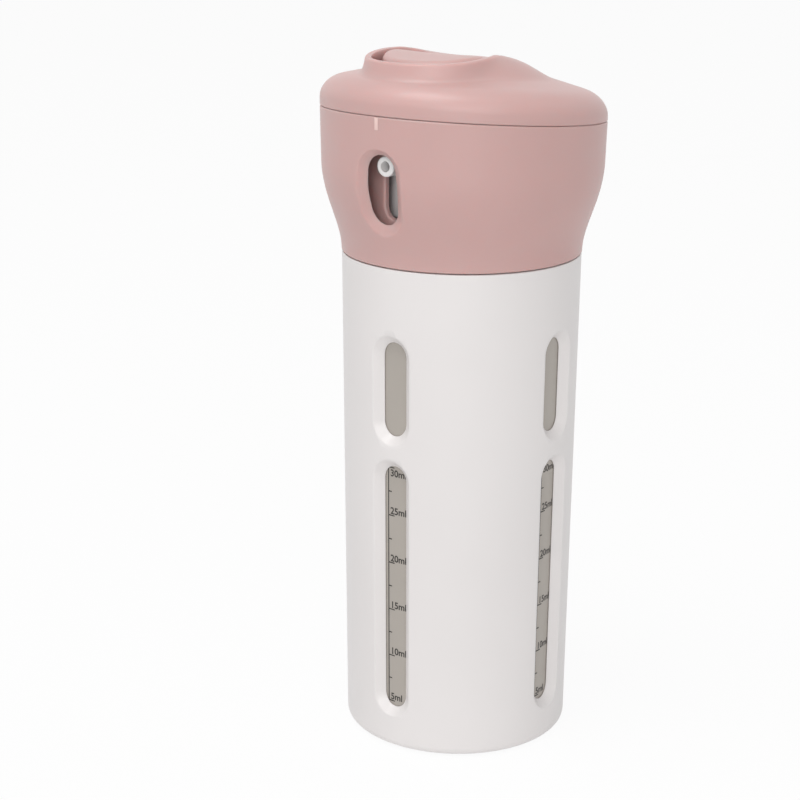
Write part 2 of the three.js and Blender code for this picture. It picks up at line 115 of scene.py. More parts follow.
# %% Moulded plastic
def moulded(name, shade, light, roughness, grain, depth, **sockets):
    material = bpy.data.materials.new(name)
    material.use_nodes = True
    tree = material.node_tree
    tree.nodes.clear()
    place = add(tree, "ShaderNodeTexCoord")
    cloud_inputs = {"Vector": place.outputs["Object"], "Scale": 1 / (35 * MM), "Detail": 2.0}
    cloud = add(tree, "ShaderNodeTexNoise", cloud_inputs)
    tint = add(tree, "ShaderNodeValToRGB", {"Fac": cloud.outputs["Fac"]})
    tint.color_ramp.elements[0].position = 0.3
    tint.color_ramp.elements[0].color = linear(shade)
    tint.color_ramp.elements[1].position = 0.7
    tint.color_ramp.elements[1].color = linear(light)
    gloss_inputs = {"Value": cloud.outputs["Fac"], "To Min": roughness - 0.03, "To Max": roughness + 0.03}
    gloss = add(tree, "ShaderNodeMapRange", gloss_inputs)
    grain_inputs = {"Vector": place.outputs["Object"], "Scale": 1 / (grain * MM), "Detail": 3.0}
    speckle = add(tree, "ShaderNodeTexNoise", grain_inputs)
    bump_inputs = {"Height": speckle.outputs["Fac"], "Strength": 0.25, "Distance": depth * MM}
    bump = add(tree, "ShaderNodeBump", bump_inputs)
    surface_inputs = {
        "Base Color": tint.outputs["Color"],
        "Roughness": gloss.outputs["Result"],
        "Normal": bump.outputs["Normal"],
    }
    surface = add(tree, "ShaderNodeBsdfPrincipled", surface_inputs)
    for socket, value in sockets.items():
        surface.inputs[socket.replace("_", " ")].default_value = value
    output = add(tree, "ShaderNodeOutputMaterial")
    tree.links.new(surface.outputs["BSDF"], output.inputs["Surface"])
    return material


# %% [markdown]
# The hood is ABS in an old pink with a satin face. Its walls are thin enough to let a little light
# through, which warms the inside of the outlet. The sleeve is white ABS, a little glossier. The
# bottles are clear PETG drawn as an opaque surface, and their even warm grey is painted shade: it is
# the grey they show through the windows, where their own dim inside is seen through them. The pumps
# are polypropylene, the gaskets are EPDM rubber, and the springs and balls are stainless steel.

# %% Materials of the dispenser
THIN_PINK = {
    "IOR": 1.53,
    "Subsurface_Weight": 0.45,
    "Subsurface_Radius": (1.0, 0.45, 0.4),
    "Subsurface_Scale": 2.2 * MM,
}
pink_abs = moulded("pink_abs_moulded", "#CAA5A1", "#CEA9A5", 0.38, 0.35, 0.02, **THIN_PINK)
white_abs = moulded("white_abs_moulded", "#E3DFDE", "#E6E2E1", 0.36, 0.35, 0.015, IOR=1.53)
# The bottles' grey base colour is painted shade of their own dim inside, seen through the clear wall.
petg_painted_inner_shade = moulded("petg_blown_painted_inner_shade", "#A8A199", "#ADA69E", 0.24, 1.5, 0.01, IOR=1.57)
white_pp = moulded("white_polypropylene_moulded", "#ECEAE9", "#F0EEED", 0.38, 0.4, 0.01, IOR=1.49)
clear_pe = moulded("natural_polyethylene_tube", "#D2D0CB", "#D8D6D2", 0.35, 0.8, 0.01, IOR=1.51)
seal_rubber = moulded("epdm_rubber_seal", "#3A3A3B", "#434344", 0.75, 0.3, 0.02, IOR=1.5)
mark_pink = moulded("pale_pink_inlay", "#E6C6C0", "#E9CAC4", 0.45, 0.4, 0.01, IOR=1.53)
scale_ink = moulded("dark_pad_print_ink", "#2B2725", "#33302D", 0.5, 0.3, 0.005, IOR=1.5)
steel = moulded("stainless_steel_drawn", "#B9BBBF", "#C4C6CA", 0.28, 0.2, 0.005, Metallic=1.0)
print("materials:", len(bpy.data.materials))

# %% [markdown]
# A round moulding is a profile turned about its axis. These helpers write a profile as points of radius
# and height, with true arcs where the tool had a radius, and spin turns it. Straight walls get points on
# the way too, so that the faces stay small and even where windows are cut later.


# %% Profiles and turning
def arc(centre, radius, start, end, steps):
    points = []
    for step in range(steps + 1):
        angle = math.radians(start + (end - start) * step / steps)
        points.append((centre[0] + radius * math.cos(angle), centre[1] + radius * math.sin(angle)))
    return points


def straight(start, end, steps):
    return [tuple(a + (b - a) * step / steps for a, b in zip(start, end)) for step in range(1, steps + 1)]


def rod(radius, low, high):
    return [(0, low), (radius, low), (radius, high), (0, high)]


def turned(profile, sides, closed=False):
    shape = bmesh.new()
    line = [shape.verts.new((0, -radius * MM, height * MM)) for radius, height in profile]
    pairs = list(zip(line, line[1:]))
    if closed:
        pairs.append((line[-1], line[0]))
    edges = [shape.edges.new(pair) for pair in pairs]
    full = 2 * math.pi
    bmesh.ops.spin(shape, geom=line + edges, axis=(0, 0, 1), angle=full, steps=sides, use_merge=True)
    bmesh.ops.remove_doubles(shape, verts=shape.verts, dist=0.002 * MM)
    bmesh.ops.recalc_face_normals(shape, faces=shape.faces)
    return shape


# %% [markdown]
# Forms that aren't round, such as the cap or a bottle, are lofts: circles are made with the create
# operator, each one's points are moved onto a cross-section of the form, and a skin of four-sided faces
# runs from each to the next. A form that comes back on itself, as a shell does, closes its last ring onto
# its first.


# %% Lofting
def lofted(rings, sides, closed=False):
    shape = bmesh.new()
    loops = []
    for place in rings:
        circle = bmesh.ops.create_circle(shape, segments=sides, radius=1)["verts"]
        for step, vert in enumerate(circle):
            vert.co = Vector(place(2 * math.pi * step / sides)) * MM
        loops.append(circle)
    pairs = list(zip(loops, loops[1:]))
    if closed:
        pairs.append((loops[-1], loops[0]))
    else:
        shape.faces.new(loops[0][::-1])
        shape.faces.new(loops[-1])
    for lower, upper in pairs:
        for step in range(sides):
            after = (step + 1) % sides
            shape.faces.new((lower[step], lower[after], upper[after], upper[step]))
    bmesh.ops.recalc_face_normals(shape, faces=shape.faces)
    return shape


# %% [markdown]
# Holes are cut with Blender's Boolean. The tool is a bmesh too, and both are put into loose objects only
# for as long as the cut takes, so the finished piece carries no modifier and no helper object.


# %% Cutting and joining
def loose(shape):
    mesh = bpy.data.meshes.new("loose")
    shape.to_mesh(mesh)
    shape.free()
    item = bpy.data.objects.new("loose", mesh)
    bpy.context.scene.collection.objects.link(item)
    return item


def combined(body, tool, operation="DIFFERENCE"):
    target = loose(body)
    other = loose(tool)
    change = target.modifiers.new("combine", "BOOLEAN")
    change.object = other
    change.operation = operation
    change.solver = "EXACT"
    ready = target.evaluated_get(bpy.context.evaluated_depsgraph_get())
    mesh = bpy.data.meshes.new_from_object(ready)
    shape = bmesh.new()
    shape.from_mesh(mesh)
    bpy.data.meshes.remove(mesh)
    for item in (target, other):
        bpy.data.objects.remove(item)
    bmesh.ops.remove_doubles(shape, verts=shape.verts, dist=0.002 * MM)
    return shape


def gathered(shapes):
    whole = bmesh.new()
    for shape in shapes:
        mesh = bpy.data.meshes.new("part")
        shape.to_mesh(mesh)
        shape.free()
        whole.from_mesh(mesh)
        bpy.data.meshes.remove(mesh)
    return whole


def quarter_turns(make):
    shapes = []
    for column in range(COLUMNS):
        shape = make()
        turn = Matrix.Rotation(2 * math.pi * column / COLUMNS, 4, "Z")
        bmesh.ops.transform(shape, matrix=turn, verts=shape.verts)
        shapes.append(shape)
    return gathered(shapes)


# %% [markdown]
# Every finished piece goes through one function. It smooths the shading but keeps corners sharper than
# 35 degrees, gives the material, and says which body the piece rides on and which solids it stands for.


# %% Finishing a piece
SHARP = math.radians(35)


def finished(name, shape, material, body, stands_for=()):
    mesh = bpy.data.meshes.new(name)
    shape.to_mesh(mesh)
    shape.free()
    mesh.shade_smooth()
    mesh.set_sharp_from_angle(angle=SHARP)
    mesh.materials.append(material)
    piece = bpy.data.objects.new(name, mesh)
    bpy.context.scene.collection.objects.link(piece)
    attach(piece, body)
    if stands_for:
        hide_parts(*stands_for)
    print(name, len(mesh.polygons), "faces")
    return piece


# %% [markdown]
# A slot with round ends and a flared lip runs through both the sleeve and the collar. Its cutter is a
# loft of stadium outlines that wraps round the axis and follows the wall in and out, so the lip is as
# wide at the sides as at the ends. The lip is a slope through nearly the whole wall, with a rounded
# outer edge, and it can sink a little at its foot.

# %% Slot cutter
SLOT_SIDES = 96
LIP_EDGE = 0.2
LIP_STEPS = 5
LIP_STRIDE = 0.17
CUT_INWARD = 6.0
CUT_OUTWARD = 2.0
CUT_FLARE = 3.0


def slot_cutter(bottom, top, half_width, radius, wall_at, depth, lip, sink=0.0):
    def station(below, spread):
        def place(angle):
            angle += math.pi / SLOT_SIDES
            reach = half_width + spread
            middle = top - half_width if math.sin(angle) > 0 else bottom + half_width
            height = middle + reach * math.sin(angle) - sink * spread / lip
            out = wall_at(height) - below
            around = reach * math.cos(angle) / radius
            return out * math.sin(around), -out * math.cos(around), height
        return place

    edge = min(LIP_EDGE, depth / 2)
    slope = lip * (1 - edge / depth)
    rings = [station(depth + CUT_INWARD, 0), station(depth, 0)]
    for step in range(LIP_STEPS):
        left = (1 - LIP_STRIDE * step) ** 2
        passed = (LIP_STRIDE * step) ** 2
        rings.append(station(edge * left, slope * left + (lip + edge) * passed + lip * (1 - left - passed)))
    rings.append(station(-CUT_OUTWARD, lip + CUT_FLARE))
    return lofted(rings, SLOT_SIDES)


# %% [markdown]
# The sleeve is one tapered cup, narrower at the base so that it leaves the mould. Its base has a round
# edge and stands on a ring round a shallow recess. Each of its four sides has two windows over a bottle.

# %% The sleeve
BASE_RADIUS = SLEEVE_RADIUS - SLEEVE_TAPER * SLEEVE_HEIGHT
BASE_FILLET = 2.3
FOOT_RECESS = 0.8
FOOT_RING = 4.0
FLOOR_TOP = 2.6
FLOOR_FILLET = 1.0
SLEEVE_RIM = 0.3
RIM_BREAK = 0.2
WALL_STEPS = 60
WINDOWS = ((10.5, 74.9), (82.6, 106.3))
WINDOW_HALF_WIDTH = 3.6
WINDOW_LIP = 1.95
WINDOW_DEPTH = SLEEVE_WALL - 0.15


def sleeve_radius(height):
    return SLEEVE_RADIUS - SLEEVE_TAPER * (SLEEVE_HEIGHT - height)


def sleeve_profile():
    ring = BASE_RADIUS - BASE_FILLET - FOOT_RING
    bore = SLEEVE_RADIUS - SLEEVE_WALL
    profile = [(0, FOOT_RECESS), (ring * 0.5, FOOT_RECESS), (ring, FOOT_RECESS)]
    profile += [(ring + FOOT_RECESS, 0), (ring + 0.5 * FOOT_RING, 0)]
    profile += arc((BASE_RADIUS - BASE_FILLET, BASE_FILLET), BASE_FILLET, -90, 0, 10)
    profile += straight(profile[-1], (SLEEVE_RADIUS, SLEEVE_HEIGHT - SLEEVE_RIM), WALL_STEPS)
    profile += arc((SLEEVE_RADIUS - SLEEVE_RIM, SLEEVE_HEIGHT - SLEEVE_RIM), SLEEVE_RIM, 15, 90, 4)
    profile += [(bore + RIM_BREAK, SLEEVE_HEIGHT), (bore, SLEEVE_HEIGHT - RIM_BREAK)]
    corner_radius = BASE_RADIUS - SLEEVE_WALL
    corner_height = FLOOR_TOP + FLOOR_FILLET
    profile += straight(profile[-1], (corner_radius, corner_height), WALL_STEPS)
    profile += arc((corner_radius - FLOOR_FILLET, corner_height), FLOOR_FILLET, -10, -90, 4)
    profile += [(ring * 0.5, FLOOR_TOP), (0, FLOOR_TOP)]
    return profile


def window_cutters():
    shapes = []
    for low, high in WINDOWS:
        sizes = (low, high, WINDOW_HALF_WIDTH, SLEEVE_RADIUS, sleeve_radius, WINDOW_DEPTH, WINDOW_LIP)
        shapes.append(quarter_turns(lambda: slot_cutter(*sizes)))
    return gathered(shapes)


sleeve = combined(turned(sleeve_profile(), 180), window_cutters())
finished("sleeve_shell", sleeve, white_abs, "sleeve", ["outer_sleeve"])

# %% [markdown]
# The collar swells from the sleeve's width to the cap's in one S-curve, which is a single Bezier. Above
# the belly its wall is nearly straight, and its top is cut on a slant that rises towards the outlet, so
# the turned shape is sheared there. A lip at its foot snaps under the bead of the carrier.

# %% The collar
COLLAR_WALL = 1.8
BELLY_RADIUS = 34.73
BELLY_HEIGHT = 22.0
COLLAR_FOOT = SLEEVE_RADIUS + 0.1
COLLAR_LIP = 1.4
GUIDE_RADIUS = 27.5
SNAP_BEAD = 0.8
SEAM_GAP = 0.12
OUTLET = (SEAM + 10.5, SEAM + 27.45)
OUTLET_HALF_WIDTH = 4.25
OUTLET_LIP = 2.0
OUTLET_SINK = 0.5
OUTLET_DEPTH = COLLAR_WALL - 0.1
COLLAR_KNOTS = [
    (COLLAR_FOOT, SEAM + 0.25, 0),
    (COLLAR_FOOT + 0.1, SEAM + BELLY_HEIGHT * 0.32, 0),
    (BELLY_RADIUS - 0.33, SEAM + BELLY_HEIGHT * 0.59, 0),
    (BELLY_RADIUS, SEAM + BELLY_HEIGHT, 0),
]
COLLAR_CURVE = [(point.x, point.y) for point in interpolate_bezier(*map(Vector, COLLAR_KNOTS), 32)]


def seam_plane(y):
    return SEAM + COLLAR_HEIGHT - SEAM_TILT * y


def collar_radius(height):
    for (low_radius, low), (high_radius, high) in zip(COLLAR_CURVE, COLLAR_CURVE[1:]):
        if height < high:
            return low_radius + (high_radius - low_radius) * (height - low) / (high - low)
    share = (height - SEAM - BELLY_HEIGHT) / (COLLAR_HEIGHT - BELLY_HEIGHT)
    return BELLY_RADIUS + (COLLAR_RADIUS - BELLY_RADIUS) * share


def collar_profile():
    top = SEAM + COLLAR_HEIGHT - SEAM_GAP / 2
    outer = [(COLLAR_FOOT - 0.25, SEAM)] + COLLAR_CURVE
    outer += straight(COLLAR_CURVE[-1], (COLLAR_RADIUS, top - 0.25), 10)
    outer.append((COLLAR_RADIUS - 0.2, top))
    room = GUIDE_RADIUS + SNAP_BEAD + 2 * CLEARANCE
    inner = [(radius - COLLAR_WALL, height) for radius, height in COLLAR_CURVE]
    inner = [point for point in inner if point[0] > room]
    lip_top = SEAM + COLLAR_LIP
    bore = GUIDE_RADIUS + WALL_CLEARANCE
    catch = GUIDE_RADIUS + SNAP_BEAD + WALL_CLEARANCE
    wall_top = (COLLAR_RADIUS - COLLAR_WALL, top)
    rise = [wall_top] + straight(wall_top, inner[-1], 8)
    return outer + rise + inner[-2::-1] + [(catch, lip_top), (bore, lip_top), (bore, SEAM)]


def sheared(shape):
    for vert in shape.verts:
        share = (vert.co.z / MM - SEAM - BELLY_HEIGHT) / (COLLAR_HEIGHT - BELLY_HEIGHT)
        vert.co.z -= SEAM_TILT * vert.co.y * max(share, 0.0)
    return shape


collar = sheared(turned(collar_profile(), 224, closed=True))
outlet_sizes = (*OUTLET, OUTLET_HALF_WIDTH, BELLY_RADIUS, collar_radius)
outlet_lip = (OUTLET_DEPTH, OUTLET_LIP, OUTLET_SINK)
collar = combined(collar, slot_cutter(*outlet_sizes, *outlet_lip))
finished("collar_shell", collar, pink_abs, "hood", ["hood_collar"])

# %% [markdown]
# Over the outlet a short pale line in the collar's edge shows which way the hood points. It is a thin bar
# with bevelled edges, let into the wall so that it barely stands proud.

# %% The index line
MARK_WIDTH = 0.95
MARK_HEIGHT = 2.9
MARK_DEPTH = 0.5
MARK_PROUD = 0.06
MARK_DROP = 0.25
MARK_BEVEL = {"offset": 0.05 * MM, "affect": "EDGES", "segments": 2, "profile": 0.5, "material": -1}

mark = bmesh.new()
bmesh.ops.create_cube(mark, size=1)
bmesh.ops.scale(mark, vec=Vector((MARK_WIDTH, MARK_DEPTH, MARK_HEIGHT)) * MM, verts=mark.verts)
mark_top = seam_plane(-COLLAR_RADIUS) - MARK_DROP
mark_y = -COLLAR_RADIUS + MARK_DEPTH / 2 - MARK_PROUD
mark_spot = Vector((0, mark_y, mark_top - MARK_HEIGHT / 2)) * MM
bmesh.ops.translate(mark, vec=mark_spot, verts=mark.verts)
bmesh.ops.bevel(mark, geom=mark.edges, **MARK_BEVEL)
finished("index_line", mark, mark_pink, "hood")

# %% [markdown]
# The cap is the form that takes most care: a low dome on a slanted foot, with a round turret off centre
# towards the outlet. At the front the turret's wall falls away sharply, and towards the back it melts
# into the dome over a wide swell. So the skin is worked out by rays from the middle of the turret: along
# each ray the height goes from the rim to the dome, over a distance that depends on the ray's direction,
# as a steep wall with a hollow foot at the front and as a soft S at the back. The rim is low at the
# front, rises to a crest on both sides, and dips at the back, where the thumb comes over it. Where each
# of these changes begins, and over how much of the turn it runs, is given in degrees from the front.

# %% The cap
CAP_SIDES = 180
CAP_EDGE = 2.0
CAP_WALL = 1.9
CAP_TONGUE = 2.3
TONGUE_WALL = 1.4
TUBE_STEP = 0.3
SHOULDER_START = 28.5
DOME_RISE = 6.2
SHOULDER_FULLNESS = 2.8
DOME_SLOPE = 0.25
DOME_SLANT = 0.02
SLANT_FROM = -16.0
TURRET_OFFSET = 13.2
TURRET_RADIUS = 15.9
TURRET_BORE = TURRET_RADIUS - 1.6
TURRET_TOP = top_of("hood_cap")
FRONT_BLEND = 2.5
BACK_BLEND = 16.0
RIM_FRONT = -0.4
RIM_CREST = 0.85
SADDLE_DIP = 2.5
WALL_STEEPNESS = 4
BACK_FROM = 75
BACK_SPAN = 80
CREST_FROM = 40
CREST_SPAN = 65
DIP_FROM = 110
DIP_SPAN = 58
SOFT_FROM = 60
SOFT_SPAN = 80
WELL_FOOT = TURRET_TOP - 11.0


def smooth(share):
    t = min(max(share, 0.0), 1.0)
    return t * t * (3 - 2 * t)


def from_front(angle):
    return math.degrees(min(angle, 2 * math.pi - angle))


def backness(angle):
    return smooth((from_front(angle) - BACK_FROM) / BACK_SPAN)


def blend_width(angle):
    return FRONT_BLEND + (BACK_BLEND - FRONT_BLEND) * backness(angle)


def rim_height(angle):
    crest = RIM_CREST * smooth((from_front(angle) - CREST_FROM) / CREST_SPAN)
    dip = SADDLE_DIP * smooth((from_front(angle) - DIP_FROM) / DIP_SPAN)
    return TURRET_TOP + RIM_FRONT + crest - dip


def reach_to(angle, radius):
    along = TURRET_OFFSET * math.cos(angle)
    return -along + math.sqrt(along ** 2 - TURRET_OFFSET ** 2 + radius ** 2)


def well_point(angle, reach, height):
    return reach * math.sin(angle), -TURRET_OFFSET - reach * math.cos(angle), height


def edge_height(y):
    return seam_plane(y) + CAP_EDGE - DOME_SLANT * (y - SLANT_FROM)


def dome_rise(radius):
    rise = DOME_RISE + DOME_SLOPE * (SHOULDER_START - radius)
    share = max(radius - SHOULDER_START, 0) / (COLLAR_RADIUS - SHOULDER_START)
    return rise * math.sqrt(max(1 - share ** SHOULDER_FULLNESS, 0))


def cap_top(angle, reach):
    x, y, _ = well_point(angle, reach, 0)
    dome = edge_height(y) + dome_rise(math.hypot(x, y))
    share = min(max((reach - TURRET_RADIUS) / blend_width(angle), 0), 1)
    steep = 1 - (1 - share) ** WALL_STEEPNESS
    fall = steep + (smooth(share) - steep) * smooth((from_front(angle) - SOFT_FROM) / SOFT_SPAN)
    return rim_height(angle) + (dome - rim_height(angle)) * fall


def on_rim(reach, below):
    return lambda angle: well_point(angle, reach, rim_height(angle) - below)


def on_lip(reach, below):
    return lambda angle: well_point(angle, reach, rim_height(angle) - below * (1 - backness(angle)))


def on_edge(angle):
    x, y, _ = well_point(angle, reach_to(angle, COLLAR_RADIUS), 0)
    return x, y, edge_height(y)


def on_blend(share):
    def place(angle):
        reach = TURRET_RADIUS + blend_width(angle) * share
        return well_point(angle, reach, cap_top(angle, reach))
    return place


def on_shoulder(share):
    def place(angle):
        start = TURRET_RADIUS + blend_width(angle)
        reach = start + (reach_to(angle, COLLAR_RADIUS) - start) * share
        return well_point(angle, reach, cap_top(angle, reach))
    return place


def on_wall(radius, above):
    def place(angle):
        x, y, _ = well_point(angle, reach_to(angle, radius), 0)
        return x, y, seam_plane(y) + above
    return place


def on_lining(share, outer, inner):
    def place(angle):
        reach = reach_to(angle, outer) + (inner - reach_to(angle, outer)) * share
        return well_point(angle, reach, cap_top(angle, reach) - CAP_WALL)
    return place


tongue = COLLAR_RADIUS - COLLAR_WALL - CLEARANCE
lining = tongue - TONGUE_WALL
tube = TURRET_RADIUS + TUBE_STEP
cap_rings = [lambda angle: well_point(angle, TURRET_BORE, WELL_FOOT)]
cap_rings += [on_rim(TURRET_BORE, below) for below in (6, 2, 0.45)]
cap_rings += [on_rim(TURRET_BORE + 0.13, 0.13), on_rim(TURRET_BORE + 0.4, 0)]
cap_rings += [on_rim(TURRET_RADIUS - 0.5, 0), on_lip(TURRET_RADIUS - 0.2, 0.05)]
cap_rings += [on_lip(TURRET_RADIUS - 0.04, 0.2), on_blend(0.03)]
cap_rings += [on_blend(step / 16) for step in range(1, 17)]
cap_rings += [on_shoulder(math.sin(math.pi / 2 * step / 20)) for step in range(1, 20)]
cap_rings += [on_edge] + [on_wall(COLLAR_RADIUS, above) for above in (0.6, SEAM_GAP / 2 + 0.25)]
cap_rings += [on_wall(COLLAR_RADIUS - 0.2, SEAM_GAP / 2), on_wall(tongue, SEAM_GAP / 2)]
cap_rings += [on_wall(tongue, -CAP_TONGUE), on_wall(lining, -CAP_TONGUE)]
cap_rings += [on_lining(step / 8, lining, tube) for step in range(9)]
cap_rings += [lambda angle: well_point(angle, tube, WELL_FOOT)]
cap = lofted(cap_rings, CAP_SIDES, closed=True)
finished("cap_shell", cap, pink_abs, "hood", ["hood_cap"])

# %% [markdown]
# The button fills the turret's well but for a crescent at the front. It is an oval, eased a little at
# the sides so that it clears the round well all the way. Its top has a soft edge and rises and falls with
# the rim, so that it is a shallow saddle for the thumb. Under it are a flange that holds it in the well
# and a post that pushes the pump below.

# %% The button
CRESCENT = 4.0
SIDE_EASE = 0.55
BUTTON_DROP = 0.45
BUTTON_CROWN = 0.85
BUTTON_SAG = 2.7
BUTTON_SCOOP = 0.15
BUTTON_EDGE = 1.6
BUTTON_WALL = 1.5
FLANGE_THICKNESS = 1.2
FLANGE_LEDGE = 0.9
POST_CLEARANCE = 0.4
PUMP_RADIUS = 15.0
POST_RADIUS = 3.6
HALF_WIDTH = TURRET_BORE - WALL_CLEARANCE
HALF_LENGTH = HALF_WIDTH - (CRESCENT - WALL_CLEARANCE) / 2
BUTTON_Y = -TURRET_OFFSET + HALF_WIDTH - HALF_LENGTH
BUTTON_TOP = TURRET_TOP - BUTTON_DROP
BUTTON_FOOT = WELL_FOOT - CLEARANCE - FLANGE_THICKNESS
ACTUATOR_TOP = top_of("actuator_1")


def saddle(y):
    share = (y - BUTTON_Y + HALF_LENGTH) / (2 * HALF_LENGTH)
    return BUTTON_CROWN * smooth(share / 0.45) - BUTTON_SAG * smooth((share - 0.45) / 0.55)


def oval(inset, height, follow=0.0):
    def place(angle):
        x = (HALF_WIDTH - SIDE_EASE - inset) * math.sin(angle)
        y = BUTTON_Y - (HALF_LENGTH - inset) * math.cos(angle)
        return x, y, height + follow * saddle(y)
    return place


def button_shell():
    rings = [oval(0, BUTTON_FOOT), oval(0, BUTTON_FOOT + 4), oval(0, BUTTON_TOP - BUTTON_EDGE - 1, 1)]
    for step in range(9):
        angle = math.pi / 2 * step / 8
        inset = BUTTON_EDGE * (1 - math.cos(angle))
        rings.append(oval(inset, BUTTON_TOP - BUTTON_EDGE * (1 - math.sin(angle)), 1))
    for step in range(1, 12):
        share = step / 12
        inset = BUTTON_EDGE + (HALF_LENGTH - BUTTON_EDGE) * share
        rings.append(oval(inset, BUTTON_TOP - BUTTON_SCOOP * smooth(share * 1.2), 1))
    return lofted(rings, 120)


roof = BUTTON_TOP - BUTTON_SCOOP - BUTTON_WALL
roof_rings = [oval(BUTTON_WALL + inset, roof, 1) for inset in (0, 2.5, 5, 7.5, 10)]
hollow = lofted([oval(BUTTON_WALL, BUTTON_FOOT - 1)] + roof_rings, 120)
flange_radius = TURRET_BORE + FLANGE_LEDGE
flange_top = BUTTON_FOOT + FLANGE_THICKNESS
flange = turned(rod(flange_radius, BUTTON_FOOT, flange_top), 96)
bmesh.ops.translate(flange, vec=(0, -TURRET_OFFSET * MM, 0), verts=flange.verts)
post_foot = ACTUATOR_TOP + POST_CLEARANCE
post_top = roof + saddle(-PUMP_RADIUS) + BUTTON_WALL / 2
post = turned(rod(POST_RADIUS, post_foot, post_top), 48)
bmesh.ops.translate(post, vec=(0, -PUMP_RADIUS * MM, 0), verts=post.verts)
button = combined(button_shell(), flange, "UNION")
button = combined(button, hollow)
button = combined(button, post, "UNION")
finished("thumb_button", button, pink_abs, "button", ["push_button"])

# %% [markdown]
# Inside, a carrier closes the sleeve's mouth and holds the bottles by their necks. Its upright wall is
# what shows behind the outlet, with one round-footed slot for each spout to slide in.

# %% The carrier
DECK_BOTTOM = SLEEVE_HEIGHT - 8.0
DECK_TOP = DECK_BOTTOM + 2.0
GUIDE_TOP = top_of("pump_carrier")
GUIDE_WALL = 1.4
GUIDE_BORE = GUIDE_RADIUS - GUIDE_WALL
SPIGOT = SLEEVE_RADIUS - SLEEVE_WALL - WALL_CLEARANCE - 8 * SLEEVE_TAPER
BEAD_FOOT = SEAM + COLLAR_LIP + CLEARANCE
SPOUT_RADIUS = 2.45
SPOUT_HEIGHT = SEAM + 24.5
PUMP_STROKE = 6.0
SLOT_ROOM = 4.8
SLOT_FOOT = SPOUT_HEIGHT - SPOUT_RADIUS - PUMP_STROKE - SLOT_ROOM
SLOT_HALF_WIDTH = 3.2
NECK_RADIUS = 6.05

bead = GUIDE_RADIUS + SNAP_BEAD
rim_foot = GUIDE_TOP - RIM_BREAK
carrier_profile = [(0, DECK_BOTTOM), (SPIGOT, DECK_BOTTOM), (SPIGOT, SEAM), (GUIDE_RADIUS, SEAM)]
carrier_profile += [(GUIDE_RADIUS, BEAD_FOOT), (bead, BEAD_FOOT + 0.3), (bead, BEAD_FOOT + 0.7)]
carrier_profile.append((GUIDE_RADIUS, BEAD_FOOT + 1.6))
carrier_profile += straight(carrier_profile[-1], (GUIDE_RADIUS, rim_foot), 16)
carrier_profile += [(GUIDE_RADIUS - RIM_BREAK, GUIDE_TOP), (GUIDE_BORE + RIM_BREAK, GUIDE_TOP)]
carrier_profile.append((GUIDE_BORE, rim_foot))
carrier_profile += straight(carrier_profile[-1], (GUIDE_BORE, DECK_TOP), 16)
carrier_profile.append((0, DECK_TOP))


def guide_slot():
    top = GUIDE_TOP + 12
    return slot_cutter(SLOT_FOOT, top, SLOT_HALF_WIDTH, GUIDE_RADIUS, lambda height: GUIDE_RADIUS, 0.3, 0.3)


def neck_hole():
    hole = turned(rod(NECK_RADIUS + WALL_CLEARANCE, DECK_BOTTOM - 1, DECK_TOP + 1), 64)
    bmesh.ops.translate(hole, vec=(0, -PUMP_RADIUS * MM, 0), verts=hole.verts)
    return hole


openings = gathered([quarter_turns(guide_slot), quarter_turns(neck_hole)])
carrier = combined(turned(carrier_profile, 160), openings)
finished("carrier_shell", carrier, pink_abs, "core", ["pump_carrier"])

# %% [markdown]
# Each bottle fills a quarter of the sleeve. Seen along its neck, its outline is the nearest of three
# limits on every ray: the round wall and two flat ones. A high power mean of the three rounds the corners
# as the blow mould does. The same outline, set in by the wall, gives the inside.

# %% The bottles
BOTTLE_SIDES = 120
BOTTLE_FOOT = FLOOR_TOP + CLEARANCE
BOTTLE_WALL = 1.1
BOTTLE_GAP = 0.6
BOTTLE_CLEARANCE = 0.15
ROUNDNESS = 14
SHOULDER_TOP = DECK_BOTTOM - CLEARANCE
SHOULDER_RISE = 8.0
BODY_TOP = SHOULDER_TOP - SHOULDER_RISE
NECK_TOP = SHOULDER_TOP + 9.3
NECK_BORE = NECK_RADIUS - 1.2
THREAD_DEPTH = 0.12
THREAD_FOOT = SHOULDER_TOP + 4.6
THREAD_PITCH = 1.5
BOTTLE_EDGE = 1.6


def bottle_arc(height):
    return sleeve_radius(height) - SLEEVE_WALL - BOTTLE_CLEARANCE


def quarter(height, inset):
    outer = bottle_arc(height) - inset
    flat = PUMP_RADIUS * math.sqrt(0.5) - BOTTLE_GAP / 2 - inset

    def place(angle):
        along = PUMP_RADIUS * math.cos(angle)
        limits = [-along + math.sqrt(along ** 2 - PUMP_RADIUS ** 2 + outer ** 2)]
        for side in (-1, 1):
            towards = math.cos(angle - side * 0.75 * math.pi)
            if towards > 0.01:
                limits.append(flat / towards)
        radius = sum(limit ** -ROUNDNESS for limit in limits) ** (-1 / ROUNDNESS)
        return radius * math.sin(angle), -PUMP_RADIUS - radius * math.cos(angle), height
    return place


def neck(height, radius):
    return lambda angle: (radius * math.sin(angle), -PUMP_RADIUS - radius * math.cos(angle), height)


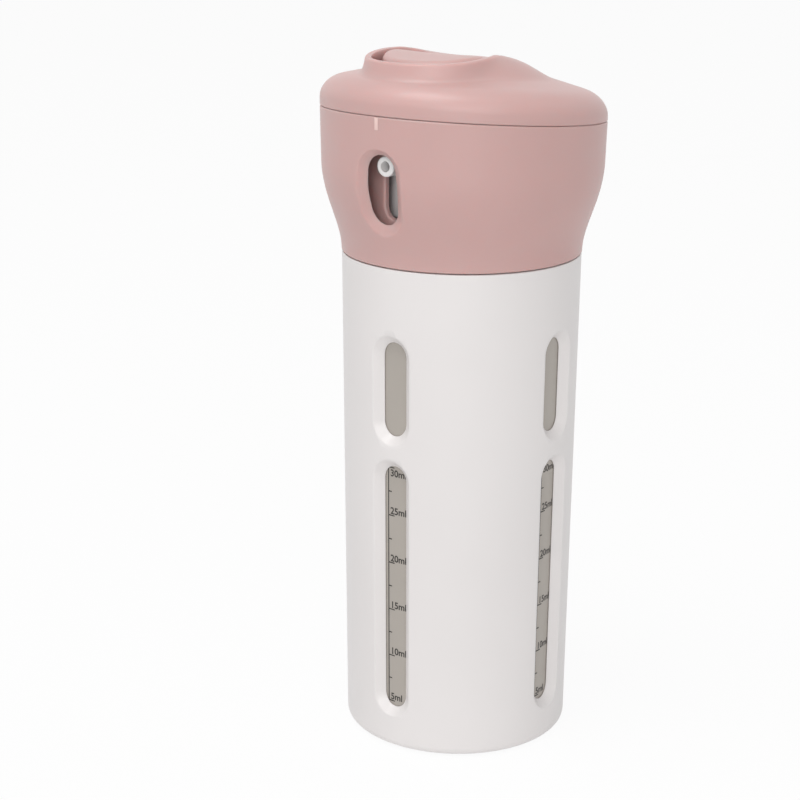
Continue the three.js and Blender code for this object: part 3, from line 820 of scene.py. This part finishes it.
def bottle():
    rings = [quarter(BOTTLE_FOOT, inset) for inset in (6, 3, BOTTLE_EDGE)]
    for step in range(1, 6):
        angle = math.pi / 2 * step / 5
        height = BOTTLE_FOOT + BOTTLE_EDGE * (1 - math.cos(angle))
        rings.append(quarter(height, BOTTLE_EDGE * (1 - math.sin(angle))))
    rings += [quarter(height, 0) for height in (BODY_TOP / 2, BODY_TOP)]
    for rise, inset in ((0.2, 0.25), (0.38, 0.8), (0.5, 1.5)):
        rings.append(quarter(BODY_TOP + SHOULDER_RISE * rise, inset))
    rings += [neck(SHOULDER_TOP - 0.8, 8.4), neck(SHOULDER_TOP, 7.6), neck(SHOULDER_TOP, NECK_RADIUS)]
    for turn in range(3):
        thread = THREAD_FOOT + turn * THREAD_PITCH
        rings += [neck(thread, NECK_RADIUS), neck(thread + 0.3, NECK_RADIUS + THREAD_DEPTH)]
        rings += [neck(thread + 0.6, NECK_RADIUS + THREAD_DEPTH), neck(thread + 0.9, NECK_RADIUS)]
    rings += [neck(NECK_TOP, NECK_RADIUS), neck(NECK_TOP, NECK_BORE), neck(SHOULDER_TOP - 1.5, NECK_BORE)]
    rings += [quarter(BODY_TOP + 3.2, 2.6 + BOTTLE_WALL), quarter(BODY_TOP, BOTTLE_WALL)]
    rings += [quarter(BOTTLE_FOOT + 3, BOTTLE_WALL), quarter(BOTTLE_FOOT + BOTTLE_WALL, BOTTLE_WALL + 1.4)]
    return lofted(rings, BOTTLE_SIDES)


# %% [markdown]
# The scale is pad printed on each bottle's round wall: an upright line, a short tick each 2.5 ml, a longer
# one each 5 ml, and a plain number with its unit above it, or below it on the topmost one. The bars come
# from the create_grid operator and the figures from a text object turned to a mesh. Both start flat and
# are then bent round the wall.

# %% The printed scale
LINE_X = -2.45
LINE_WIDTH = 0.3
TICK_STEP = 6.26
FIRST_TICK = 5.25
TICKS = 12
FIGURE_SIZE = 2.5
FIGURE_WEIGHT = 0.05
FIGURE_RISE = 0.55
TOP_FIGURE_RISE = -2.1
FIGURE_STRETCH = 0.98
FIGURE_LEFT = LINE_X + 0.75
LONG_TICK = 2.05
SHORT_TICK = 1.2
INK_HEIGHT = 0.03


def bar(left, bottom, width, height):
    shape = bmesh.new()
    bmesh.ops.create_grid(shape, x_segments=3, y_segments=1, size=0.5)
    bmesh.ops.scale(shape, vec=(width, height, 1), verts=shape.verts)
    bmesh.ops.translate(shape, vec=(left + width / 2, bottom + height / 2, 0), verts=shape.verts)
    return shape


def figures(words, left, bottom):
    text = bpy.data.curves.new("figures", "FONT")
    text.body = words
    text.size = FIGURE_SIZE
    text.offset = FIGURE_WEIGHT
    item = bpy.data.objects.new("figures", text)
    bpy.context.scene.collection.objects.link(item)
    bpy.context.view_layer.update()
    ready = item.evaluated_get(bpy.context.evaluated_depsgraph_get())
    mesh = bpy.data.meshes.new_from_object(ready)
    shape = bmesh.new()
    shape.from_mesh(mesh)
    bpy.data.meshes.remove(mesh)
    bpy.data.objects.remove(item)
    bmesh.ops.scale(shape, vec=(FIGURE_STRETCH, 1, 1), verts=shape.verts)
    bmesh.ops.translate(shape, vec=(left, bottom, 0), verts=shape.verts)
    return shape


def printed_scale():
    top = FIRST_TICK + TICK_STEP * (TICKS - 1)
    shapes = [bar(LINE_X, FIRST_TICK, LINE_WIDTH, top - FIRST_TICK)]
    for tick in range(TICKS):
        height = FIRST_TICK + TICK_STEP * tick
        whole = tick % 2 == 1
        shapes.append(bar(LINE_X, height, LONG_TICK if whole else SHORT_TICK, LINE_WIDTH))
        if whole:
            rise = FIGURE_RISE if tick < TICKS - 1 else TOP_FIGURE_RISE
            shapes.append(figures(f"{5 * (tick + 1) // 2}ml", FIGURE_LEFT, height + rise))
    flat = gathered(shapes)
    for vert in flat.verts:
        x, height, _ = vert.co
        radius = bottle_arc(height) + INK_HEIGHT
        turn = x / radius
        vert.co = Vector((radius * math.sin(turn), -radius * math.cos(turn), height)) * MM
    return flat


# %% [markdown]
# The pump head is a wide cap over the closure with a thin spout. The spout's tip is what the outlet shows:
# a small white ring round a dark bore. Head and spout are joined by a Boolean, and a rod is taken out of
# the spout for the bore.

# %% The pump heads
HEAD_RADIUS = 9.3
HEAD_WALL = 1.0
HEAD_EDGE = 1.2
TIP_EDGE = 0.35
HEAD_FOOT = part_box("actuator_1")[0].z / MM
SPOUT_BORE = 1.3
SPOUT_REACH = 31.5
HEAD_ROOF = 145.5


def laid(shape):
    bmesh.ops.rotate(shape, matrix=Matrix.Rotation(math.pi / 2, 3, "X"), verts=shape.verts)
    bmesh.ops.translate(shape, vec=(0, -PUMP_RADIUS * MM, SPOUT_HEIGHT * MM), verts=shape.verts)
    return shape


def pump_head():
    inside = HEAD_RADIUS - HEAD_WALL
    profile = [(0, HEAD_ROOF), (inside, HEAD_ROOF), (inside, HEAD_FOOT), (HEAD_RADIUS, HEAD_FOOT)]
    profile += arc((HEAD_RADIUS - HEAD_EDGE, ACTUATOR_TOP - HEAD_EDGE), HEAD_EDGE, 0, 90, 8)
    profile.append((0, ACTUATOR_TOP))
    head = turned(profile, 72)
    bmesh.ops.translate(head, vec=(0, -PUMP_RADIUS * MM, 0), verts=head.verts)
    length = SPOUT_REACH - PUMP_RADIUS
    tip = [(0, 0), (SPOUT_RADIUS, 0), (SPOUT_RADIUS, length - 2)]
    tip += arc((SPOUT_RADIUS - TIP_EDGE, length - TIP_EDGE), TIP_EDGE, 0, 90, 5) + [(0, length)]
    spout = laid(turned(tip, 56))
    bore = laid(turned(rod(SPOUT_BORE, 2, length + 1), 40))
    return combined(combined(head, spout, "UNION"), bore)


# %% [markdown]
# Bottle, print and pump head are made once for the front and turned into the other three places. They
# ride on different bodies: the bottle hangs in the core, and the head goes down with its own pump.

# %% Four of each
# The bottle_body rows take the material whose grey is painted shade of the bottles' dim inside.
PARTS = (
    ("bottle_body", bottle, petg_painted_inner_shade, "core", "clear_bottle", "bottle"),
    ("scale_print", printed_scale, scale_ink, "core", "clear_bottle", None),
    ("pump_head", pump_head, white_pp, None, "white_pump", "actuator"),
)
for column in range(COLUMNS):
    number = column + 1
    turn = Matrix.Rotation(2 * math.pi * column / COLUMNS, 4, "Z")
    for name, make, material, body, slot, node in PARTS:
        shape = make()
        bmesh.ops.transform(shape, matrix=turn, verts=shape.verts)
        nodes = [f"{node}_{number}"] if node else ()
        finished(f"{name}_{number}", shape, material, body or f"pump_{number}", nodes)

# %% [markdown]
# The rest of each pump is shut away inside, where the solids are fine as they are. They only take their
# materials.

# %% Materials of the hidden pieces
HIDDEN = {
    "closure": white_pp,
    "gasket": seal_rubber,
    "pump_body": white_pp,
    "dip_tube": clear_pe,
    "check_ball": steel,
    "pump_spring": steel,
    "piston": white_pp,
}
for name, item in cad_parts.items():
    material = HIDDEN.get(name.rsplit("_", 1)[0])
    if material:
        item.data.materials.clear()
        item.data.materials.append(material)

# %% [markdown]
# The floor is a plain pale sheet. To the camera it is nearly white whatever the light does, because most
# of it there is plain emission and only a little is lit, which keeps a faint shadow under the object.

# %% Floor
FLOOR_GLOW = 0.93

floor_material = bpy.data.materials.new("pale_paper_sweep")
floor_material.use_nodes = True
tree = floor_material.node_tree
tree.nodes.clear()
rays = add(tree, "ShaderNodeLightPath")
seen_inputs = {0: rays.outputs["Is Camera Ray"], 1: rays.outputs["Is Glossy Ray"]}
seen = add(tree, "ShaderNodeMath", seen_inputs, operation="MAXIMUM")
share = add(tree, "ShaderNodeMath", {0: seen.outputs[0], 1: FLOOR_GLOW}, operation="MULTIPLY")
paper = add(tree, "ShaderNodeBsdfDiffuse", {"Color": linear("#F2F2F2")})
glow = add(tree, "ShaderNodeEmission", {"Color": (1, 1, 1, 1), "Strength": 1.0})
sweep_inputs = {0: share.outputs[0], 1: paper.outputs["BSDF"], 2: glow.outputs["Emission"]}
sweep = add(tree, "ShaderNodeMixShader", sweep_inputs)
add(tree, "ShaderNodeOutputMaterial", {"Surface": sweep.outputs["Shader"]})

sheet = bmesh.new()
bmesh.ops.create_grid(sheet, x_segments=1, y_segments=1, size=3.0)
floor = loose(sheet)
floor.name = "floor"
floor.location.z = -0.0002
floor.data.materials.append(floor_material)

# %% [markdown]
# The light is that of a product table: an even white surround, a large soft box beside the camera and a
# little over it, and one overhead that lifts the cap. The world is white to the camera and to
# reflections, and dimmer as a light, so that a colour renders about as it is written.

# %% Light
SURROUND = 0.5
FRONT_POWER = 4.4
TOP_POWER = 6.8

world = bpy.data.worlds.new("white_surround")
bpy.context.scene.world = world
world.use_nodes = True
tree = world.node_tree
tree.nodes.clear()
rays = add(tree, "ShaderNodeLightPath")
seen_inputs = {0: rays.outputs["Is Camera Ray"], 1: rays.outputs["Is Glossy Ray"]}
seen = add(tree, "ShaderNodeMath", seen_inputs, operation="MAXIMUM")
through = {0: seen.outputs[0], 1: rays.outputs["Is Transmission Ray"]}
seen = add(tree, "ShaderNodeMath", through, operation="MAXIMUM")
dim = add(tree, "ShaderNodeBackground", {"Color": (1, 1, 1, 1), "Strength": SURROUND})
white = add(tree, "ShaderNodeBackground", {"Color": (1, 1, 1, 1), "Strength": 1.0})
both = {0: seen.outputs[0], 1: dim.outputs["Background"], 2: white.outputs["Background"]}
backdrop = add(tree, "ShaderNodeMixShader", both)
add(tree, "ShaderNodeOutputWorld", {"Surface": backdrop.outputs["Shader"]})


def soft_box(name, place, size, power):
    lamp = bpy.data.lights.new(name, "AREA")
    lamp.shape = "SQUARE"
    lamp.size = size
    lamp.energy = power
    item = bpy.data.objects.new(name, lamp)
    aim = Vector((0, 0, 0.09)) - Vector(place)
    item.rotation_euler = aim.to_track_quat("-Z", "Y").to_euler()
    item.location = place
    bpy.context.scene.collection.objects.link(item)


soft_box("front_box", (0.68, -0.9, 0.5), 0.8, FRONT_POWER)
soft_box("top_box", (-0.12, -0.45, 1.3), 0.7, TOP_POWER)

# %% [markdown]
# The camera stands a little above the object, 35 degrees to the right of the outlet, with a 90 mm lens on
# a 36 mm sensor. It is aimed by one known sight line: the joint of sleeve and collar lies on the axis and
# falls on one measured pixel. Two frames of axes, one about that line in the camera and one in the world,
# give the camera's turn, and the distance puts it in place.

# %% Camera
PICTURE = 800
LENS = 90.0
SENSOR = 36.0
JOINT_PIXEL = (461.65, 248.3)
JOINT_HEIGHT = 124.8
DISTANCE = 498.4
AZIMUTH = math.radians(35)
ELEVATION = math.radians(12.05)
ROLL = math.radians(0.81)


def axes_along(sight, up):
    z = -sight.normalized()
    x = up.cross(z).normalized()
    return Matrix((x, z.cross(x), z)).transposed()


focal = PICTURE * LENS / SENSOR
across = (JOINT_PIXEL[0] - PICTURE / 2) / focal
down = (JOINT_PIXEL[1] - PICTURE / 2) / focal
seen_line = Vector((across, -down, -1)).normalized()
level = Vector((-math.sin(AZIMUTH), math.cos(AZIMUTH), 0))
world_line = level * math.cos(ELEVATION) - Vector((0, 0, math.sin(ELEVATION)))
in_camera = axes_along(seen_line, Vector((0, 1, 0)))
in_world = axes_along(world_line, Vector((0, 0, 1)))
turn = in_world @ Matrix.Rotation(ROLL, 3, "Z") @ in_camera.transposed()
spot = Vector((0, 0, JOINT_HEIGHT)) * MM - world_line * DISTANCE * MM
lens = bpy.data.cameras.new("product_camera")
lens.lens = LENS
lens.sensor_width = SENSOR
camera = bpy.data.objects.new("product_camera", lens)
camera.matrix_world = Matrix.Translation(spot) @ turn.to_4x4()
bpy.context.scene.collection.objects.link(camera)
bpy.context.scene.camera = camera
bpy.context.scene.view_settings.view_transform = "Standard"
print("camera at", [round(value, 4) for value in spot])
